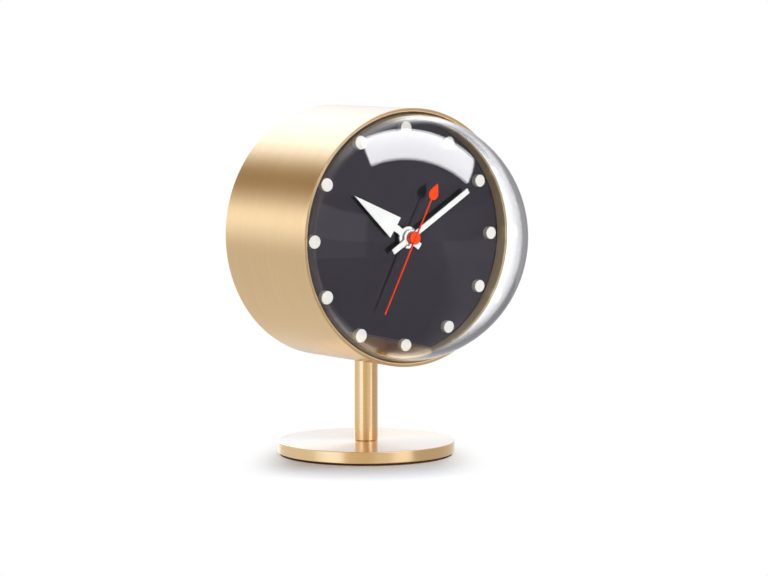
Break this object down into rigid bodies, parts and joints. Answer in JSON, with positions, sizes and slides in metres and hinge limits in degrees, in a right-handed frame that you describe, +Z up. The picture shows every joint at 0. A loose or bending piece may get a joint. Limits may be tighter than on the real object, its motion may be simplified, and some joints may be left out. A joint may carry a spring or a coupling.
{
  "type": "table clock",
  "caption": "Brass drum table clock on a post and round base, with a charcoal dial, peg hour marks and a clear domed front.",
  "frame": {"origin": "on the table under the post's axis, at the underside of the base pad", "axes": "+Z up along the post, the dial faces -Y, +X towards 3 o'clock"},
  "size_m": [0.11, 0.1188, 0.151],
  "materials": {
    "brass": "fine brushed, clear lacquered",
    "dark_pad": "matt",
    "steel": "zinc plated",
    "clear_dome": "polished clear acrylic",
    "charcoal_dial": "satin charcoal paint",
    "cream_pegs": "matt off-white",
    "white_hands": "satin white paint",
    "red_hand": "satin orange-red paint",
    "wheel_plastic": "natural acetal",
    "motor_iron": "plain iron",
    "copper": "enamelled copper wire",
    "black_plastic": "fine moulded texture",
    "board_green": "solder mask",
    "can_metal": "drawn can",
    "battery_jacket": "plain grey jacket"
  },
  "bodies": {
    "case": {"base_disc": "brass", "base_pad": "dark_pad", "base_screw": "steel", "post": "brass", "post_screw": "steel", "saddle_washer": "steel", "drum": "brass", "dome": "clear_dome", "dial_plate": "charcoal_dial", "hour_pegs": "cream_pegs", "dial_ring": "steel", "dial_nuts": "steel", "stator": "motor_iron", "coil_core": "motor_iron", "coil_bobbin": "black_plastic", "coil_winding": "copper", "stator_screws": "steel", "movement_frame": "black_plastic", "movement_back": "black_plastic", "circuit_board": "board_green", "board_chip": "black_plastic", "board_crystal": "can_metal", "contact_positive": "steel", "contact_negative": "steel"},
    "hour_hand": {"hour_hand": "white_hands", "hour_wheel": "wheel_plastic"},
    "minute_hand": {"minute_hand": "white_hands", "minute_wheel": "wheel_plastic"},
    "second_hand": {"second_hand": "red_hand", "second_wheel": "wheel_plastic"},
    "motion_wheel": {"motion_wheel": "wheel_plastic"},
    "third_wheel": {"third_wheel": "wheel_plastic"},
    "drive_wheel": {"drive_wheel": "wheel_plastic"},
    "rotor": {"rotor": "motor_iron"},
    "setting_knob": {"setting_knob": "black_plastic"},
    "battery": {"battery": "battery_jacket"},
    "rear_cover": {"rear_cover": "black_plastic"}
  },
  "joints": [
    {"name": "minute_turn", "type": "hinge", "parent": "case", "child": "minute_hand", "pos_m": [0, 0, 0.096], "axis": [0, 1, 0], "continuous": true},
    {"name": "hour_turn", "type": "hinge", "parent": "case", "child": "hour_hand", "pos_m": [0, 0, 0.096], "axis": [0, 1, 0], "continuous": true},
    {"name": "second_turn", "type": "hinge", "parent": "case", "child": "second_hand", "pos_m": [0, 0, 0.096], "axis": [0, 1, 0], "continuous": true},
    {"name": "motion_wheel_turn", "type": "hinge", "parent": "case", "child": "motion_wheel", "pos_m": [0.00939, 0, 0.094], "axis": [0, 1, 0], "continuous": true},
    {"name": "third_wheel_turn", "type": "hinge", "parent": "case", "child": "third_wheel", "pos_m": [-0.00813, 0, 0.10413], "axis": [0, 1, 0], "continuous": true},
    {"name": "drive_wheel_turn", "type": "hinge", "parent": "case", "child": "drive_wheel", "pos_m": [0.006, 0, 0.10639], "axis": [0, 1, 0], "continuous": true},
    {"name": "rotor_turn", "type": "hinge", "parent": "case", "child": "rotor", "pos_m": [0.01162, 0, 0.11442], "axis": [0, 1, 0], "continuous": true},
    {"name": "setting_knob_turn", "type": "hinge", "parent": "case", "child": "setting_knob", "pos_m": [0.01895, 0, 0.09317], "axis": [0, 1, 0], "continuous": true},
    {"name": "rear_cover_pull", "type": "slide", "parent": "case", "child": "rear_cover", "axis": [0, 1, 0], "range_m": [0, 0.03]},
    {"name": "battery_out", "type": "slide", "parent": "case", "child": "battery", "axis": [0, 1, 0], "range_m": [0, 0.018]}
  ],
  "couplings": [
    {"joint": "hour_turn", "follows": "minute_turn", "ratio": 0.083333},
    {"joint": "second_turn", "follows": "minute_turn", "ratio": 60},
    {"joint": "motion_wheel_turn", "follows": "minute_turn", "ratio": -0.33333},
    {"joint": "third_wheel_turn", "follows": "minute_turn", "ratio": -8},
    {"joint": "drive_wheel_turn", "follows": "minute_turn", "ratio": -300},
    {"joint": "rotor_turn", "follows": "minute_turn", "ratio": 1800},
    {"joint": "setting_knob_turn", "follows": "minute_turn", "ratio": 1}
  ]
}
